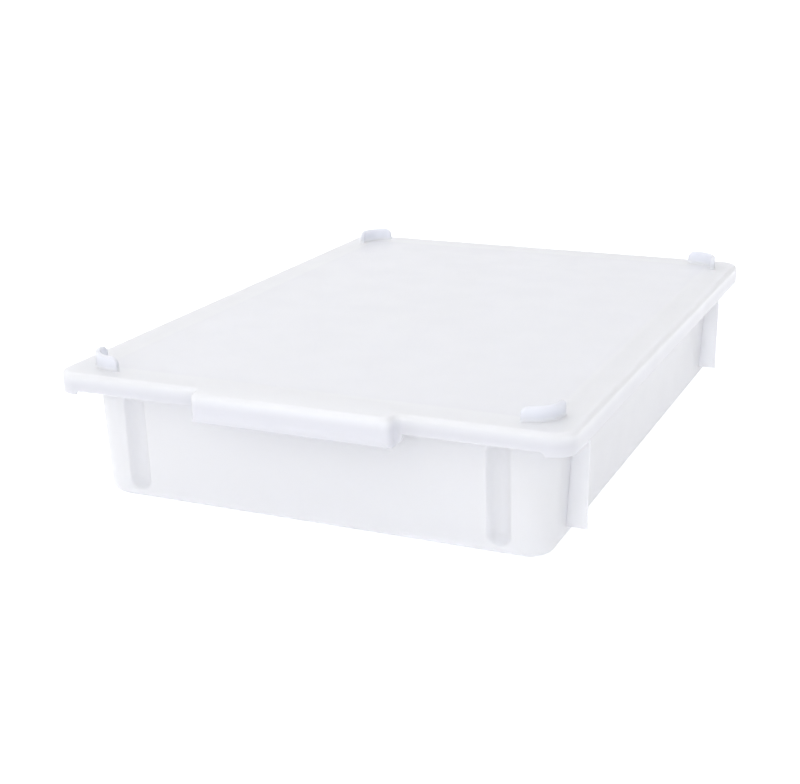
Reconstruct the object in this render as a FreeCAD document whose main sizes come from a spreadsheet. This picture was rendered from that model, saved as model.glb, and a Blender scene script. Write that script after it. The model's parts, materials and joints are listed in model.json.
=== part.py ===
"""Shallow storage tray with a lift-off lid, in millimetres.

Frame: X across the tray, Y along it, Z up. The origin is the centre of the footprint,
on the surface that the tray stands on.
"""
import FreeCAD, Part
import math
import os

import Sketcher
from FreeCAD import Vector

os.makedirs("parts", exist_ok=True)
doc = FreeCAD.newDocument("storage_tray")

# ----------------------------------------------------------------- driving dimensions

DIMENSIONS = [
    # the lid's outer outline, which every other outline is inset from
    ("lid_width", 317.2),
    ("lid_length", 432.2),
    ("lid_top", 80.0),
    ("lid_corner", 13.0),
    ("lid_edge_round", 3.1),
    ("lid_skirt", 2.2),
    ("lid_panel", 2.4),
    ("lid_gap", 0.4),
    ("end_skirt_bottom", 69.2),
    ("side_skirt_bottom", 67.0),
    ("side_skirt_start", 144.0),
    ("skirt_step_round", 2.2),
    ("skirt_edge_round", 0.4),
    # the grip in the middle of the lid's front end
    ("grip_half_width", 61.5),
    ("grip_reach", 9.0),
    ("grip_convex", 5.4),
    ("grip_concave", 3.4),
    ("grip_bottom", 61.0),
    ("grip_curl", 8.0),
    ("grip_end_curl", 8.3),
    # the ribs on the lid that hold the base of the tray above
    ("rib_reach_x", 145.5),
    ("rib_reach_y", 204.2),
    ("rib_radius", 18.6),
    ("rib_long_leg", 5.0),
    ("rib_short_leg", 0.3),
    ("rib_side_leg", 3.4),
    ("rib_thickness", 3.0),
    ("rib_height", 9.0),
    ("rib_end_round", 5.0),
    ("rib_round", 1.2),
    ("rib_root_round", 0.8),
    # the bead that rests on the tray's flange, and the rib inside the tray's mouth
    ("rest_bead_inset", 8.1),
    ("rest_bead_width", 1.6),
    ("rest_gap", 0.3),
    ("mouth_clearance", 0.8),
    ("mouth_rib", 1.6),
    ("mouth_rib_bottom", 72.5),
    # the tray
    ("tray_height", 75.0),
    ("wall", 2.2),
    ("side_lip_bottom", 68.0),
    ("end_lip_bottom", 70.0),
    ("flange_round", 0.8),
    ("flange_root_round", 1.5),
    ("mouth_round", 1.0),
    ("tub_base_width", 282.8),
    ("tub_base_length", 397.6),
    ("tub_draft", 2.8),
    ("tub_corner", 15.5),
    ("tub_foot_round", 6.3),
    # the grooves in the end walls
    ("groove_offset", 113.9),
    ("groove_radius", 7.7),
    ("groove_depth", 4.5),
    ("groove_low", 12.5),
    ("groove_high", 60.0),
    ("groove_edge_round", 1.5),
    # the fins under the long flanges
    ("fin_reach", 154.6),
    ("fin_offset", 166.0),
    ("fin_thickness", 1.8),
    ("fin_bottom", 9.2),
    ("fin_taper", 0.8),
    ("fin_edge_round", 0.5),
]

sheet = doc.addObject("Spreadsheet::Sheet", "spec")
for row, (alias, value) in enumerate(DIMENSIONS, start=1):
    sheet.set(f"A{row}", alias)
    sheet.set(f"B{row}", str(value))
    sheet.setAlias(f"B{row}", alias)
doc.recompute()


def size(alias):
    """The number in a cell of the sheet."""
    return float(sheet.get(alias))


def span(constant=0.0, **factors):
    """A length as a sum of cells times factors, such as span(lid_width=0.5, lid_skirt=-1)."""
    return constant, factors


def negative(length):
    constant, factors = length
    return -constant, {alias: -factor for alias, factor in factors.items()}


def inset_from(length, inset):
    """The first length less the second."""
    constant, factors = length
    total = dict(factors)
    for alias, factor in inset[1].items():
        total[alias] = total.get(alias, 0.0) - factor
    return constant - inset[0], total


def number(length):
    constant, factors = length
    return constant + sum(factor * size(alias) for alias, factor in factors.items())


def formula(length):
    constant, factors = length
    terms = [f"{factor:g} * spec.{alias}" for alias, factor in factors.items()]
    return " + ".join([f"{constant:g}"] + terms)


NOTHING = span()
# how closely two levels agree when they count as the same
TOLERANCE = 0.05
# how far a piece runs into the one that it is joined to, or a cut runs out of it
OVERLAP = 1.0
# the least share of an edge's direction that lies along an axis it runs along
ALONG = 0.9

# ------------------------------------------------------------------------ the builders


def plane(body, role):
    """One of a body's own origin planes."""
    for feature in body.Origin.OriginFeatures:
        if feature.Role == role:
            return feature
    raise ValueError(role)


def closed_sketch(body, name, role, corners, height=NOTHING):
    """A closed polygon on an origin plane, each corner held at two lengths of the sheet."""
    sketch = body.newObject("Sketcher::SketchObject", name)
    sketch.AttachmentSupport = [(plane(body, role), "")]
    sketch.MapMode = "FlatFace"
    sketch.setExpression(".AttachmentOffset.Base.z", formula(height))
    points = [Vector(number(across), number(along), 0) for across, along in corners]
    for start, end in zip(points, points[1:] + points[:1]):
        sketch.addGeometry(Part.LineSegment(start, end), False)
    for line in range(len(points)):
        following = (line + 1) % len(points)
        sketch.addConstraint(Sketcher.Constraint("Coincident", line, 2, following, 1))
    for line, corner in enumerate(corners):
        for kind, length in zip(("DistanceX", "DistanceY"), corner):
            held = Sketcher.Constraint(kind, -1, 1, line, 1, number(length))
            index = sketch.addConstraint(held)
            sketch.renameConstraint(index, f"{kind}_{line}")
            sketch.setExpression(f"Constraints.{kind}_{line}", formula(length))
    return sketch


def rectangle(half_x, half_y):
    return [
        (negative(half_x), negative(half_y)),
        (half_x, negative(half_y)),
        (half_x, half_y),
        (negative(half_x), half_y),
    ]


def rounded_sketch(body, name, half_x, half_y, radius, height):
    """A rectangle on the XY plane with an arc at each corner, tangent to both its sides."""
    sketch = body.newObject("Sketcher::SketchObject", name)
    sketch.AttachmentSupport = [(plane(body, "XY_Plane"), "")]
    sketch.MapMode = "FlatFace"
    sketch.setExpression(".AttachmentOffset.Base.z", formula(height))
    middle_x = inset_from(half_x, radius)
    middle_y = inset_from(half_y, radius)
    centres = [
        (middle_x, middle_y),
        (negative(middle_x), middle_y),
        (negative(middle_x), negative(middle_y)),
        (middle_x, negative(middle_y)),
    ]
    arcs = []
    for quarter, (across, along) in enumerate(centres):
        circle = Part.Circle(Vector(number(across), number(along), 0), Vector(0, 0, 1),
                             number(radius))
        start = quarter * math.pi / 2
        arcs.append(Part.ArcOfCircle(circle, start, start + math.pi / 2))
    for arc in arcs:
        sketch.addGeometry(arc, False)
    for arc, following in zip(arcs, arcs[1:] + arcs[:1]):
        sketch.addGeometry(Part.LineSegment(arc.EndPoint, following.StartPoint), False)
    for quarter, centre in enumerate(centres):
        side = quarter + 4
        sketch.addConstraint(Sketcher.Constraint("Tangent", quarter, 2, side, 1))
        sketch.addConstraint(Sketcher.Constraint("Tangent", side, 2, (quarter + 1) % 4, 1))
        bound = [("Radius", Sketcher.Constraint("Radius", quarter, number(radius)), radius)]
        for kind, length in zip(("DistanceX", "DistanceY"), centre):
            held = Sketcher.Constraint(kind, -1, 1, quarter, 3, number(length))
            bound.append((kind, held, length))
        for kind, constraint, length in bound:
            index = sketch.addConstraint(constraint)
            sketch.renameConstraint(index, f"{kind}_{quarter}")
            sketch.setExpression(f"Constraints.{kind}_{quarter}", formula(length))
    return sketch


def pad(body, name, sketch, length):
    feature = body.newObject("PartDesign::Pad", name)
    feature.Profile = sketch
    feature.setExpression("Length", formula(length))
    body.Tip = feature
    doc.recompute()
    return feature


def edges_where(shape, test):
    """The names of the edges whose middle point and direction pass the test."""
    names = []
    for index, edge in enumerate(shape.Edges, start=1):
        if edge.Degenerated:
            continue
        middle = edge.valueAt((edge.FirstParameter + edge.LastParameter) / 2)
        direction = edge.tangentAt((edge.FirstParameter + edge.LastParameter) / 2)
        if test(middle, direction):
            names.append(f"Edge{index}")
    return names


def fillet(body, name, radius, test):
    base = body.Tip
    feature = body.newObject("PartDesign::Fillet", name)
    feature.Base = (base, edges_where(base.Shape, test))
    feature.setExpression("Radius", formula(radius))
    body.Tip = feature
    doc.recompute()
    return feature


def is_upright(direction):
    return abs(direction.z) > ALONG


def near(value, target):
    return abs(value - target) < TOLERANCE


def outline_prism(name, inset, bottom, top):
    """The lid's outline, grip and all, inset evenly, as an upright prism."""
    half_x = inset_from(span(lid_width=0.5), inset)
    half_y = inset_from(span(lid_length=0.5), inset)
    grip_x = inset_from(span(grip_half_width=1), inset)
    grip_y = inset_from(span(lid_length=0.5, grip_reach=1), inset)
    right = [
        (half_x, half_y),
        (half_x, negative(half_y)),
        (grip_x, negative(half_y)),
        (grip_x, negative(grip_y)),
    ]
    left = [(negative(across), along) for across, along in reversed(right)]
    body = doc.addObject("PartDesign::Body", name)
    sketch = closed_sketch(body, f"{name}_outline", "XY_Plane", right + left, bottom)
    pad(body, f"{name}_pad", sketch, inset_from(top, bottom))
    side, end = number(half_x), -number(half_y)
    grip_side, grip_front = number(grip_x), -number(grip_y)
    fillet(body, f"{name}_corners", inset_from(span(lid_corner=1), inset),
           lambda at, way: is_upright(way) and near(abs(at.x), side))
    fillet(body, f"{name}_grip_tips", inset_from(span(grip_convex=1), inset),
           lambda at, way: is_upright(way) and near(at.y, grip_front))
    fillet(body, f"{name}_grip_roots", inset_from(span(grip_concave=1), negative(inset)),
           lambda at, way: is_upright(way) and near(at.y, end)
           and near(abs(at.x), grip_side))
    return body


def block(name, role, corners, start, length):
    """A polygon on an origin plane, padded away from it."""
    body = doc.addObject("PartDesign::Body", name)
    sketch = closed_sketch(body, f"{name}_outline", role, corners, start)
    pad(body, f"{name}_pad", sketch, length)
    return body


def round_block(name, half_x, half_y, radius, bottom, top):
    """An upright block with rounded corners in plan."""
    body = doc.addObject("PartDesign::Body", name)
    sketch = rounded_sketch(body, f"{name}_outline", half_x, half_y, radius, bottom)
    pad(body, f"{name}_pad", sketch, inset_from(top, bottom))
    return body


def cut(name, base, tool):
    result = doc.addObject("Part::Cut", name)
    result.Base = base
    result.Tool = tool
    doc.recompute()
    return result


def joined(name, pieces):
    result = doc.addObject("Part::MultiFuse", name)
    result.Shapes = pieces
    result.Refine = True
    doc.recompute()
    return result


def shared(name, pieces):
    result = doc.addObject("Part::MultiCommon", name)
    result.Shapes = pieces
    doc.recompute()
    return result


def mirror(name, source, normal):
    result = doc.addObject("Part::Mirroring", name)
    result.Source = source
    result.Base = Vector(0, 0, 0)
    result.Normal = normal
    doc.recompute()
    return result


def four_corners(source):
    """A piece at one corner, with its images at the other three."""
    across = mirror(f"{source.Name}_across", source, Vector(1, 0, 0))
    along = mirror(f"{source.Name}_along", source, Vector(0, 1, 0))
    opposite = mirror(f"{source.Name}_opposite", along, Vector(1, 0, 0))
    return [source, across, along, opposite]


def rounded_edges(name, base, radius_alias, test):
    """A fillet on the edges of a finished shape that pass the test."""
    result = doc.addObject("Part::Fillet", name)
    result.Base = base
    radius = size(radius_alias)
    chosen = edges_where(base.Shape, test)
    result.Edges = [(int(edge[4:]), radius, radius) for edge in chosen]
    doc.recompute()
    return result


# --------------------------------------------------------------- shared levels and sizes

TALL = span(lid_top=2)
TRAY_TOP = span(tray_height=1)
TRAY_INSET = span(lid_skirt=1, lid_gap=1)
FLANGE_UNDERSIDE = span(tray_height=1, wall=-1)
PANEL_UNDERSIDE = span(lid_top=1, lid_panel=-1)
MOUTH_GROWTH = size("tray_height") * math.tan(math.radians(size("tub_draft")))
MOUTH_HALF_X = span(MOUTH_GROWTH, tub_base_width=0.5)
MOUTH_HALF_Y = span(MOUTH_GROWTH, tub_base_length=0.5)
MOUTH_CORNER = span(MOUTH_GROWTH, tub_corner=1)
GRIP_FLARE = span(grip_half_width=1, grip_concave=1)


def end_trim(name, half_width, level):
    """What is cut off the bottom of the end skirts or lips, up to a level, with its upper
    corners rounded."""
    body = block(name, "XZ_Plane", rectangle(half_width, level), span(lid_length=-1),
                 span(lid_length=2))
    top = number(level)
    fillet(body, f"{name}_round", span(skirt_step_round=1),
           lambda at, way: abs(way.y) > ALONG and near(at.z, top))
    return body


# -------------------------------------------------------------------------------- lid


def stacking_rib(name, leg):
    """The rib at one corner of the lid: an upright wall round the corner, with a leg along each
    edge. Its ends slope off in a round, and every upper edge is eased."""
    reach_x, reach_y = span(rib_reach_x=1), span(rib_reach_y=1)
    thickness = span(rib_thickness=1)
    inner_x, inner_y = inset_from(reach_x, thickness), inset_from(reach_y, thickness)
    start_x = inset_from(reach_x, span(rib_radius=1, **{leg: 1}))
    start_y = inset_from(reach_y, span(rib_radius=1, rib_side_leg=1))
    corners = [(start_x, reach_y), (start_x, inner_y), (inner_x, inner_y),
               (inner_x, start_y), (reach_x, start_y), (reach_x, reach_y)]
    body = block(name, "XY_Plane", corners, span(-OVERLAP, lid_top=1),
                 span(OVERLAP, rib_height=1))
    crest = size("lid_top") + size("rib_height")
    ends = number(start_x), number(start_y)
    fillet(body, f"{name}_outside", span(rib_radius=1),
           lambda at, way: is_upright(way) and near(at.x, number(reach_x))
           and near(at.y, number(reach_y)))
    fillet(body, f"{name}_inside", span(rib_radius=1, rib_thickness=-1),
           lambda at, way: is_upright(way) and near(at.x, number(inner_x))
           and near(at.y, number(inner_y)))
    fillet(body, f"{name}_ends", span(rib_end_round=1),
           lambda at, way: near(at.z, crest) and (near(at.x, ends[0]) or near(at.y, ends[1])))
    fillet(body, f"{name}_edges", span(rib_round=1),
           lambda at, way: is_upright(way) and (near(at.x, ends[0]) or near(at.y, ends[1])))
    return body


def stacking_ribs():
    """One rib at each corner. The longer legs across the lid are at two opposite corners."""
    long_rib = stacking_rib("long_rib", "rib_long_leg")
    short_rib = stacking_rib("short_rib", "rib_short_leg")
    long_opposite = mirror("long_rib_along", long_rib, Vector(0, 1, 0))
    return [long_rib, mirror("long_rib_opposite", long_opposite, Vector(1, 0, 0)),
            mirror("short_rib_across", short_rib, Vector(1, 0, 0)),
            mirror("short_rib_along", short_rib, Vector(0, 1, 0))]


def ring(name, half_x, half_y, width, radius, bottom):
    """A thin upright wall under the lid's panel, running all the way round."""
    top = span(lid_top=1, lid_panel=-0.5)
    outer = round_block(f"{name}_outer", half_x, half_y, radius, bottom, top)
    inner = round_block(f"{name}_inner", inset_from(half_x, width),
                        inset_from(half_y, width), inset_from(radius, width),
                        inset_from(bottom, span(OVERLAP)), inset_from(top, span(-OVERLAP)))
    return cut(name, outer, inner)


def grip_solid(name, inset, top):
    """The grip below the lid's skirt, inset evenly: the lid's outline in plan, with a
    bottom that curls in from the front and from both ends."""
    floor = inset_from(span(grip_bottom=1), negative(inset))
    front = inset_from(negative(span(lid_length=0.5, grip_reach=1)), negative(inset))
    half = inset_from(GRIP_FLARE, inset)
    floor_level, front_at = number(floor), number(front)
    plan = outline_prism(f"{name}_plan", inset, floor, top)
    side = block(f"{name}_side", "YZ_Plane",
                 [(NOTHING, floor), (front, floor), (front, TALL), (NOTHING, TALL)],
                 negative(GRIP_FLARE), span(grip_half_width=2, grip_concave=2))
    fillet(side, f"{name}_curl", inset_from(span(grip_curl=1), inset),
           lambda at, way: abs(way.x) > ALONG and near(at.z, floor_level)
           and near(at.y, front_at))
    face = block(f"{name}_face", "XZ_Plane",
                 [(negative(half), floor), (half, floor), (half, TALL), (negative(half), TALL)],
                 span(lid_length=-1), span(lid_length=2))
    fillet(face, f"{name}_end_curl", inset_from(span(grip_end_curl=1), inset),
           lambda at, way: abs(way.y) > ALONG and near(at.z, floor_level))
    return shared(name, [plan, side, face])


def front_grip():
    """The pull below the lid's front tab: its walls go on down from the skirt and curl in,
    and it is open behind and underneath for the fingers."""
    skirt = span(lid_skirt=1)
    behind = negative(inset_from(span(lid_length=0.5), skirt))
    beyond = span(lid_length=-1)
    limit = block("grip_limit", "XY_Plane",
                  [(negative(GRIP_FLARE), behind), (GRIP_FLARE, behind),
                   (GRIP_FLARE, beyond), (negative(GRIP_FLARE), beyond)], NOTHING, TALL)
    solid = grip_solid("grip_solid", NOTHING, span(OVERLAP, end_skirt_bottom=1))
    hollow = grip_solid("grip_hollow", skirt, TALL)
    way_in_x = inset_from(GRIP_FLARE, span(grip_end_curl=1))
    way_in_front = negative(inset_from(span(lid_length=0.5, grip_reach=1),
                                       span(grip_curl=1)))
    way_in = block("finger_way_in", "XY_Plane",
                   [(negative(way_in_x), NOTHING), (way_in_x, NOTHING),
                    (way_in_x, way_in_front), (negative(way_in_x), way_in_front)],
                   NOTHING, TALL)
    return cut("front_grip", shared("grip_part", [solid, limit]),
               joined("grip_space", [hollow, way_in]))


def build_lid():
    outer = outline_prism("lid_outer", NOTHING, span(side_skirt_bottom=1), span(lid_top=1))
    panel_level = size("lid_top")
    fillet(outer, "lid_edge", span(lid_edge_round=1),
           lambda at, way: near(at.z, panel_level))
    hollow = outline_prism("lid_hollow", span(lid_skirt=1),
                           span(-OVERLAP, side_skirt_bottom=1), PANEL_UNDERSIDE)
    shell = cut("lid_shell", outer, hollow)
    trim = end_trim("lid_end_trim", span(side_skirt_start=1), span(end_skirt_bottom=1))
    skirt_levels = (size("side_skirt_bottom"), size("end_skirt_bottom"))
    skirt = rounded_edges("lid_skirt_eased", cut("lid_trimmed", shell, trim),
                          "skirt_edge_round",
                          lambda at, way: near(at.z, skirt_levels[0])
                          or near(at.z, skirt_levels[1]))
    bead_inset = span(rest_bead_inset=1)
    bead = ring("rest_bead", inset_from(span(lid_width=0.5), bead_inset),
                inset_from(span(lid_length=0.5), bead_inset), span(rest_bead_width=1),
                inset_from(span(lid_corner=1), bead_inset),
                span(tray_height=1, rest_gap=1))
    rib_inset = span(wall=1, mouth_clearance=1)
    mouth = ring("mouth_rib", inset_from(MOUTH_HALF_X, rib_inset),
                 inset_from(MOUTH_HALF_Y, rib_inset), span(mouth_rib=1),
                 inset_from(MOUTH_CORNER, rib_inset), span(mouth_rib_bottom=1))
    whole = joined("lid_whole", [skirt, front_grip(), bead, mouth] + stacking_ribs())
    reach_x, reach_y = size("rib_reach_x"), size("rib_reach_y")
    longest = size("rib_radius") + size("rib_long_leg")
    return rounded_edges("lid_finished", whole, "rib_root_round",
                         lambda at, way: near(at.z, panel_level)
                         and reach_x - longest <= abs(at.x) + TOLERANCE
                         and abs(at.x) <= reach_x + TOLERANCE
                         and reach_y - longest <= abs(at.y) <= reach_y + TOLERANCE)


# ------------------------------------------------------------------------------- tray


def tub(name, inset, floor, top):
    """The tapered tub from its base to its mouth, inset evenly, with a rounded foot."""
    body = doc.addObject("PartDesign::Body", name)
    sketch = rounded_sketch(body, f"{name}_base", inset_from(span(tub_base_width=0.5), inset),
                            inset_from(span(tub_base_length=0.5), inset),
                            inset_from(span(tub_corner=1), inset), floor)
    walls = pad(body, f"{name}_walls", sketch, inset_from(top, floor))
    walls.setExpression("TaperAngle", "spec.tub_draft")
    doc.recompute()
    level = number(floor)
    fillet(body, f"{name}_foot", inset_from(span(tub_foot_round=1), inset),
           lambda at, way: near(at.z, level))
    return body


def groove(name, growth):
    """The upright round-ended groove near one corner of an end wall, or, grown by the
    wall's thickness, the bulge that it makes inside."""
    draft = math.radians(size("tub_draft"))
    radius = size("groove_radius") + number(growth)
    outside = size("groove_radius") - size("groove_depth")
    low = size("groove_low")
    wall_at_low = size("tub_base_length") / 2 + low * math.tan(draft)
    centre = Vector(size("groove_offset"), wall_at_low + outside, low)
    along = Vector(0, math.sin(draft), math.cos(draft))
    length = (size("groove_high") - low) / math.cos(draft)
    shaft = Part.makeCylinder(radius, length, centre, along)
    ends = [Part.makeSphere(radius, centre), Part.makeSphere(radius, centre + along * length)]
    feature = doc.addObject("Part::Feature", name)
    feature.Shape = shaft.fuse(ends).removeSplitter()
    return feature


def on_a_groove(at, way):
    """Whether an edge is where a groove meets the face of an end wall."""
    draft = math.tan(math.radians(size("tub_draft")))
    face = size("tub_base_length") / 2 + at.z * draft
    reach = size("groove_radius")
    return (abs(abs(at.y) - face) < TOLERANCE
            and abs(abs(at.x) - size("groove_offset")) < reach
            and size("groove_low") - reach < at.z < size("groove_high") + reach)


def fin():
    """A thin upright fin from the tub's wall to near the flange's edge, at one corner."""
    corners = [
        (span(tub_base_width=0.5, wall=-0.5), span(fin_bottom=1)),
        (span(fin_reach=1, fin_taper=-1), span(fin_bottom=1)),
        (span(fin_reach=1), span(tray_height=1, wall=-0.5)),
        (span(tub_base_width=0.5, wall=-0.5), span(tray_height=1, wall=-0.5)),
    ]
    return block("fin", "XZ_Plane", corners, span(fin_offset=-1, fin_thickness=-0.5),
                 span(fin_thickness=1))


def rim():
    """The flange round the mouth, and the lip that turns down from its edge. The lip stops on
    both sides of the lid's grip, which leaves room for fingers."""
    lip_inset = inset_from(TRAY_INSET, span(wall=-1))
    outlines = []
    for inset in (TRAY_INSET, lip_inset):
        outlines.append([inset_from(length, inset) for length in
                         (span(lid_width=0.5), span(lid_length=0.5), span(lid_corner=1))])
    flange = round_block("rim", *outlines[0], span(side_lip_bottom=1), TRAY_TOP)
    top = size("tray_height")
    fillet(flange, "rim_round", span(flange_round=1), lambda at, way: near(at.z, top))
    hollow = round_block("rim_hollow", *outlines[1], span(-OVERLAP, side_lip_bottom=1),
                         FLANGE_UNDERSIDE)
    trim = end_trim("rim_end_trim", inset_from(span(side_skirt_start=1),
                    span(skirt_step_round=1)), span(end_lip_bottom=1))
    half = inset_from(span(grip_half_width=1), span(lid_skirt=1))
    behind, beyond = negative(MOUTH_HALF_Y), span(lid_length=-1)
    fingers = block("lip_opening", "XY_Plane",
                    [(negative(half), behind), (half, behind), (half, beyond),
                     (negative(half), beyond)], NOTHING, FLANGE_UNDERSIDE)
    shell = cut("rim_shell", flange, hollow)
    return cut("rim_opened", cut("rim_trimmed", shell, trim), fingers)


def build_tray():
    shell = joined("tray_shell", [tub("tub", NOTHING, NOTHING, TRAY_TOP), rim()]
                   + four_corners(fin()))
    grooves = joined("grooves", four_corners(groove("groove", NOTHING)))
    bulges = joined("bulges", four_corners(groove("bulge", span(wall=1))))
    cavity = tub("cavity", span(wall=1), span(wall=1), span(lid_top=1))
    room = cut("room", cavity, bulges)
    grooved = cut("tray_grooved", shell, grooves)
    eased = rounded_edges("grooves_eased", grooved, "groove_edge_round", on_a_groove)
    whole = cut("tray_whole", eased, room)
    top = size("tray_height")
    wall_x, wall_y = number(MOUTH_HALF_X), number(MOUTH_HALF_Y)
    mouth = rounded_edges("mouth_eased", whole, "mouth_round",
                          lambda at, way: near(at.z, top) and abs(at.x) < wall_x
                          and abs(at.y) < wall_y)
    fin_at, half_fin = size("fin_offset"), size("fin_thickness") / 2
    lip = size("side_lip_bottom")
    fins = rounded_edges("fins_eased", mouth, "fin_edge_round",
                         lambda at, way: near(abs(abs(at.y) - fin_at), half_fin)
                         and abs(at.x) > wall_x + half_fin and at.z < lip)
    underside = number(FLANGE_UNDERSIDE)
    roots = rounded_edges("flange_roots", fins, "flange_root_round",
                          lambda at, way: near(at.z, underside)
                          and abs(abs(at.x) - wall_x) < OVERLAP)
    return roots


def check(thing):
    """Stop if an object of the document has failed."""
    failed = [state for state in thing.State if state in ("Invalid", "Error")]
    if failed:
        raise RuntimeError(f"{thing.Name} is {failed}")


pieces = {"lid": build_lid(), "tray": build_tray()}
for node, piece in pieces.items():
    piece.Label = node
doc.recompute()
for thing in doc.Objects:
    check(thing)
for node, piece in pieces.items():
    if piece.Shape.isNull() or not piece.Shape.isValid():
        raise RuntimeError(f"{node} has no valid shape")
for node, piece in pieces.items():
    print(node, len(piece.Shape.Solids), round(piece.Shape.Volume), piece.Placement)
    piece.Shape.exportStep(f"parts/{node}.step")
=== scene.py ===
"""A shallow storage tray and its lid in milky translucent plastic, on a plain pale floor.

Both pieces keep their CAD shape. This script gives them their materials, and makes the floor, the light
and the camera. Lengths are in metres, angles in degrees.
"""

import json
import math

import bpy
from mathutils import Matrix, Vector


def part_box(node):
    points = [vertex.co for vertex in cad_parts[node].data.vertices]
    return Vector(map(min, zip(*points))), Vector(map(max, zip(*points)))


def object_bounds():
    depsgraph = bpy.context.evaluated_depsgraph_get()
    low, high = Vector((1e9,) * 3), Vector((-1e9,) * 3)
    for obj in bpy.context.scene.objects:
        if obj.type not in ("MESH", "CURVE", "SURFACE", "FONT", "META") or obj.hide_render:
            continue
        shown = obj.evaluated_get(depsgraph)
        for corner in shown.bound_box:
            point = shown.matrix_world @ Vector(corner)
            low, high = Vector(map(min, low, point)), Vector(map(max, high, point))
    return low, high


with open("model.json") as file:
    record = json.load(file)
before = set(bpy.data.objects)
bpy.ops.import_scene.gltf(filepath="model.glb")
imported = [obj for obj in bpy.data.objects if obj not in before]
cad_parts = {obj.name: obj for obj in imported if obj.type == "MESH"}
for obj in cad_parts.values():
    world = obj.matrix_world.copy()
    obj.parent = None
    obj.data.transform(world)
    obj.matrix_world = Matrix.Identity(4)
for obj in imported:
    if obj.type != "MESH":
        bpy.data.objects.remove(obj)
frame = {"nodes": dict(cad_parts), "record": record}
cad_low, cad_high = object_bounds()
centre = (cad_low + cad_high) / 2
reach = (cad_high - cad_low).length / 2

# --------------------------------------------------------------------------- camera

CAMERA_AZIMUTH = 23.82
CAMERA_ELEVATION = 17.58
CAMERA_ROLL = -0.75
CAMERA_DISTANCE = 1.0068
CAMERA_LEFT = 0.02846
CAMERA_RISE = 0.02097
CAMERA_LENS_MM = 65.39


def direction(azimuth, elevation):
    """The unit vector towards an azimuth and elevation. Azimuth 0 is the front, -Y, and 90 is +X."""
    turn, rise = math.radians(azimuth), math.radians(elevation)
    return Vector((math.sin(turn) * math.cos(rise), -math.cos(turn) * math.cos(rise),
                   math.sin(rise)))


def make_camera():
    """A camera that looks along the azimuth and elevation, moved sideways and up in its own plane."""
    back = direction(CAMERA_AZIMUTH, CAMERA_ELEVATION)
    right = Vector((0, 0, 1)).cross(back).normalized()
    up = back.cross(right)
    turned = Matrix.Rotation(math.radians(CAMERA_ROLL), 3, back)
    axes = Matrix((turned @ right, turned @ up, back)).transposed()
    data = bpy.data.cameras.new("camera")
    data.lens = CAMERA_LENS_MM
    camera = bpy.data.objects.new("camera", data)
    camera.matrix_world = Matrix.Translation(
        back * CAMERA_DISTANCE - right * CAMERA_LEFT + up * CAMERA_RISE) @ axes.to_4x4()
    bpy.context.scene.collection.objects.link(camera)
    bpy.context.scene.camera = camera


# ------------------------------------------------------------------- material nodes


class Nodes:
    """A material's node tree, with short ways to add nodes and links to it."""

    def __init__(self, name):
        self.material = bpy.data.materials.new(name)
        self.material.use_nodes = True
        self.tree = self.material.node_tree
        self.shader = self.tree.nodes["Principled BSDF"]

    def add(self, kind, settings=None, **inputs):
        """A node with its settings, and its inputs by name, with _ for a space."""
        node = self.tree.nodes.new(kind)
        for key, value in (settings or {}).items():
            setattr(node, key, value)
        for key, value in inputs.items():
            self.feed(node.inputs[key.replace("_", " ")], value)
        return node

    def feed(self, socket, value):
        """Link a socket to another one, or set its number or colour."""
        if isinstance(value, bpy.types.NodeSocket):
            self.tree.links.new(value, socket)
        else:
            socket.default_value = value

    def place(self):
        """The point on the piece, in the frame of the whole object."""
        return self.add("ShaderNodeTexCoord").outputs["Object"]

    def height(self, place):
        return self.add("ShaderNodeSeparateXYZ", Vector=place).outputs["Z"]

    def noise(self, place, scale, detail):
        """Noise with about this many features a metre, as a number from 0 to 1."""
        node = self.add("ShaderNodeTexNoise", Vector=place, Scale=scale, Detail=detail)
        return node.outputs["Fac"]

    def ramp(self, value, low, high, to_low, to_high):
        """A smooth step from one number to another, as the value goes from low to high."""
        node = self.add("ShaderNodeMapRange", {"interpolation_type": "SMOOTHSTEP"},
                        Value=value, From_Min=low, From_Max=high, To_Min=to_low, To_Max=to_high)
        return node.outputs["Result"]

    def patches(self, place, scale, detail, to_low, to_high):
        """Soft patches of noise between two numbers."""
        return self.ramp(self.noise(place, scale, detail), PATCH_LOW, PATCH_HIGH, to_low, to_high)

    def combine(self, operation, *values):
        """A sum, product or the like of numbers or sockets."""
        node = self.add("ShaderNodeMath", {"operation": operation})
        for socket, value in zip(node.inputs, values):
            self.feed(socket, value)
        return node.outputs[0]

    def blend(self, amount, first, second):
        """A colour between two others."""
        node = self.add("ShaderNodeMix", {"data_type": "RGBA"}, Factor=amount)
        self.feed(node.inputs[COLOUR_A], first)
        self.feed(node.inputs[COLOUR_B], second)
        return node.outputs[COLOUR_RESULT]


# the sockets of a colour mix, whose names the node also gives to its other kinds of value
COLOUR_A, COLOUR_B, COLOUR_RESULT = 6, 7, 2
# the stretch of a noise's range that its patches lie in
PATCH_LOW, PATCH_HIGH = 0.3, 0.7

# -------------------------------------------------------------------------- plastic

# how much light goes through the plastic, and how far the rest scatters inside it
CLEAR = 0.35
SCATTER = 0.003
REFRACTION = 1.49
COAT_ROUGHNESS = 0.05

# features a metre
CLOUDS = 14.0
SINK_MARKS = 22.0
GLOSS_PATCHES = 40.0
GRAIN = 1800.0
SCUFFS = (12.0, 700.0, 90.0)

# handling scuffs: their slant in radians, the part of their noise that shows, and how dull they are
SCUFF_SLANT = (0.0, 0.0, 0.6)
SCUFF_START, SCUFF_FULL = 0.6, 0.8
SCUFF_DULLING = 0.08

# the base roughness, and how far the patches go below and above it
ROUGHNESS = 0.34
SHINIER, DULLER = 0.03, 0.05

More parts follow.
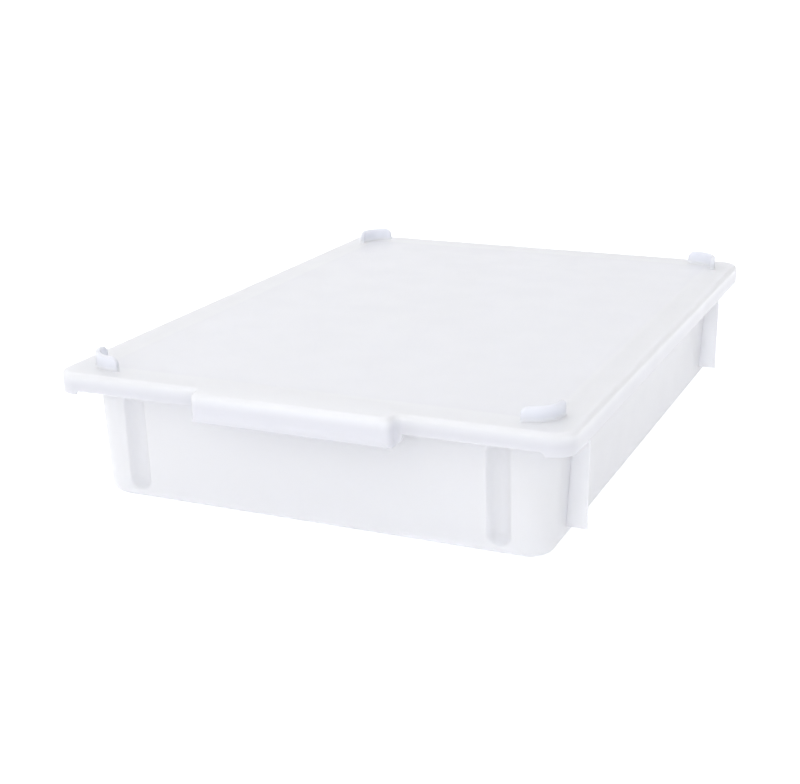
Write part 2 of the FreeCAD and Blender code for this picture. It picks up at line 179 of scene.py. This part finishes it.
BUMP_STRENGTH = 0.08
GRAIN_DEPTH = 0.0002
SINK_DEPTH = 0.0004


def milky_plastic(name, colour, shade, shine, zones=()):
    """Translucent moulded polypropylene: faint clouding, a satin skin and light handling marks.

    Each zone is a tone and a function that makes its mask, from 0 to 1, from the place; the lid's zones
    are painted glow and painted shade."""
    nodes = Nodes(name)
    place = nodes.place()
    shader = nodes.shader

    tone = nodes.blend(nodes.patches(place, CLOUDS, 3.0, 0.0, 1.0), (*colour, 1.0), (*shade, 1.0))
    for zone_colour, mask in zones:
        tone = nodes.blend(mask(nodes, place), tone, (*zone_colour, 1.0))
    nodes.feed(shader.inputs["Base Color"], tone)

    slanted = nodes.add("ShaderNodeMapping", Vector=place, Rotation=SCUFF_SLANT, Scale=SCUFFS)
    scuffs = nodes.ramp(nodes.noise(slanted.outputs[0], 1.0, 1.0), SCUFF_START, SCUFF_FULL, 0.0, 1.0)
    satin = nodes.patches(place, GLOSS_PATCHES, 4.0, ROUGHNESS - SHINIER, ROUGHNESS + DULLER)
    worn = nodes.combine("MULTIPLY_ADD", scuffs, SCUFF_DULLING, satin)
    nodes.feed(shader.inputs["Roughness"], worn)

    grain = nodes.add("ShaderNodeBump", Strength=BUMP_STRENGTH, Distance=GRAIN_DEPTH,
                      Height=nodes.noise(place, GRAIN, 2.0))
    sinks = nodes.add("ShaderNodeBump", Strength=BUMP_STRENGTH, Distance=SINK_DEPTH,
                      Height=nodes.noise(place, SINK_MARKS, 1.0), Normal=grain.outputs[0])
    nodes.feed(shader.inputs["Normal"], sinks.outputs[0])

    shader.inputs["IOR"].default_value = REFRACTION
    shader.inputs["Coat Weight"].default_value = shine
    shader.inputs["Coat Roughness"].default_value = COAT_ROUGHNESS
    shader.inputs["Transmission Weight"].default_value = CLEAR
    shader.inputs["Subsurface Weight"].default_value = 1.0
    shader.inputs["Subsurface Radius"].default_value = (1.0, 1.0, 1.0)
    shader.inputs["Subsurface Scale"].default_value = SCATTER
    return nodes.material


# --------------------------------------------------------- the lid's zones of painted glow and painted shade


def level_of(mount_name):
    """The height of a mount of the record."""
    levels = {mount["name"]: mount["pos_m"][2] for mount in frame["record"]["mounts"]}
    return levels[mount_name]


PANEL_LEVEL = level_of("stacking_top")
# below the panel: where the skirt's painted shade begins, and where it is full
SKIRT_SHADE_START, SKIRT_SHADE_FULL = 0.0005, 0.0080
# above the panel: where the ribs' painted shade begins, and where it is full
RIB_SHADE_START, RIB_SHADE_FULL = 0.0002, 0.0030
# in from the lid's edge: how far the tray's flange reaches, and how softly the painted glow over it
# ends
GLOW_BORDER_WIDTH = 0.019
GLOW_BORDER_FADE = 0.004


def painted_shade_down_skirt(nodes, place):
    """Painted shade: 0 on the panel, rising to 1 low on the skirt, so the skirt darkens towards its
    bottom.
    """
    return nodes.ramp(nodes.height(place), PANEL_LEVEL - SKIRT_SHADE_FULL, PANEL_LEVEL - SKIRT_SHADE_START,
                      1.0, 0.0)


def painted_shade_on_ribs(nodes, place):
    """Painted shade: 0 on the panel, rising to 1 on the corner ribs, which it darkens."""
    return nodes.ramp(nodes.height(place), PANEL_LEVEL + RIB_SHADE_START, PANEL_LEVEL + RIB_SHADE_FULL,
                      0.0, 1.0)


def painted_glow_over_flange(nodes, place):
    """Painted glow: 1 where the tray's flange lies under the panel, 0 over the open mouth; it lightens
    the lid's border there.
    """
    spot = nodes.add("ShaderNodeVectorMath", {"operation": "ABSOLUTE"})
    nodes.feed(spot.inputs[0], place)
    apart = nodes.add("ShaderNodeSeparateXYZ", Vector=spot.outputs[0])
    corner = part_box("lid")[1]
    masks = []
    for axis, edge in (("X", corner.x), ("Y", corner.y)):
        inside = edge - GLOW_BORDER_WIDTH
        masks.append(nodes.ramp(apart.outputs[axis], inside - GLOW_BORDER_FADE, inside, 0.0, 1.0))
    return nodes.combine("MAXIMUM", *masks)


def dress(node, material):
    """Give a CAD node its material."""
    data = frame["nodes"][node].data
    data.materials.clear()
    data.materials.append(material)


def dress_tray():
    dress("tray", milky_plastic("tray_plastic", (0.915, 0.921, 0.963), (0.912, 0.918, 0.962), 0.0))


def dress_lid():
    zones = [
        # painted glow: the border over the tray's flange lighter than the panel
        ((0.950, 0.963, 0.999), painted_glow_over_flange),
        # painted shade: the skirt darker towards its bottom
        ((0.800, 0.805, 0.845), painted_shade_down_skirt),
        # painted shade: the corner ribs darker than the panel
        ((0.845, 0.858, 0.905), painted_shade_on_ribs),
    ]
    dress("lid", milky_plastic("lid_plastic", (0.911, 0.917, 0.974), (0.908, 0.914, 0.973), 0.25,
                               zones))


# ---------------------------------------------------------------------------- floor

FLOOR_COLOUR = (0.8, 0.8, 0.8, 1.0)
FLOOR_GLOW = 0.42
FLOOR_PATCHES = 6.0
FLOOR_SMOOTHEST, FLOOR_ROUGHEST = 0.6, 0.7
# half the floor's side, in half diagonals of the object
FLOOR_SPREAD = 40
WHITE = (1.0, 1.0, 1.0, 1.0)


def make_floor():
    nodes = Nodes("floor_paint")
    nodes.shader.inputs["Base Color"].default_value = FLOOR_COLOUR
    nodes.shader.inputs["Emission Color"].default_value = WHITE
    nodes.shader.inputs["Emission Strength"].default_value = FLOOR_GLOW
    nodes.feed(nodes.shader.inputs["Roughness"],
               nodes.patches(nodes.place(), FLOOR_PATCHES, 2.0, FLOOR_SMOOTHEST, FLOOR_ROUGHEST))
    half = FLOOR_SPREAD * reach
    corners = [(-half, -half, 0), (half, -half, 0), (half, half, 0), (-half, half, 0)]
    mesh = bpy.data.meshes.new("floor")
    mesh.from_pydata(corners, [], [(0, 1, 2, 3)])
    mesh.materials.append(nodes.material)
    floor = bpy.data.objects.new("floor", mesh)
    floor.location.z = cad_low.z
    bpy.context.scene.collection.objects.link(floor)


# ---------------------------------------------------------------------------- light

# the sky is brightest in one direction, and fades to its dim strength in the opposite one
SKY_COLOUR = (0.997, 1.0, 1.02, 1.0)
SKY_DIM = 0.55
SKY_BRIGHT = 1.42
SKY_LIGHT = direction(-48.0, 42.0)

TOP_PLACE = Vector((-0.40, -0.22, 1.18))
TOP_SIZE = (0.34, 0.12)
TOP_WATTS = 0.9


def make_sky():
    world = bpy.data.worlds.new("world")
    world.use_nodes = True
    tree = world.node_tree
    background = tree.nodes["Background"]
    background.inputs["Color"].default_value = SKY_COLOUR
    towards = tree.nodes.new("ShaderNodeVectorMath")
    towards.operation = "DOT_PRODUCT"
    towards.inputs[1].default_value = SKY_LIGHT
    tree.links.new(tree.nodes.new("ShaderNodeTexCoord").outputs["Generated"], towards.inputs[0])
    fade = tree.nodes.new("ShaderNodeMapRange")
    fade.inputs["From Min"].default_value = -1.0
    fade.inputs["To Min"].default_value = SKY_DIM
    fade.inputs["To Max"].default_value = SKY_BRIGHT
    tree.links.new(towards.outputs["Value"], fade.inputs["Value"])
    tree.links.new(fade.outputs[0], background.inputs["Strength"])
    bpy.context.scene.world = world


def make_top_light():
    """A small softbox high up on the left, which draws the line of light along the lid's edge."""
    data = bpy.data.lights.new("top", "AREA")
    data.shape = "RECTANGLE"
    data.size, data.size_y = TOP_SIZE
    data.energy = TOP_WATTS
    light = bpy.data.objects.new("top", data)
    light.location = TOP_PLACE
    light.rotation_mode = "QUATERNION"
    light.rotation_quaternion = (centre - TOP_PLACE).to_track_quat("-Z", "Y")
    bpy.context.scene.collection.objects.link(light)


def set_rendering():
    """Plain tones, and enough bounces for light that goes through several walls."""
    scene = bpy.context.scene
    scene.view_settings.view_transform = "Standard"
    scene.cycles.max_bounces = 24
    scene.cycles.diffuse_bounces = 12
    scene.cycles.transmission_bounces = 16


# ------------------------------------------------------------------------------ all

make_camera()
make_floor()
make_sky()
make_top_light()
set_rendering()
dress_tray()
dress_lid()
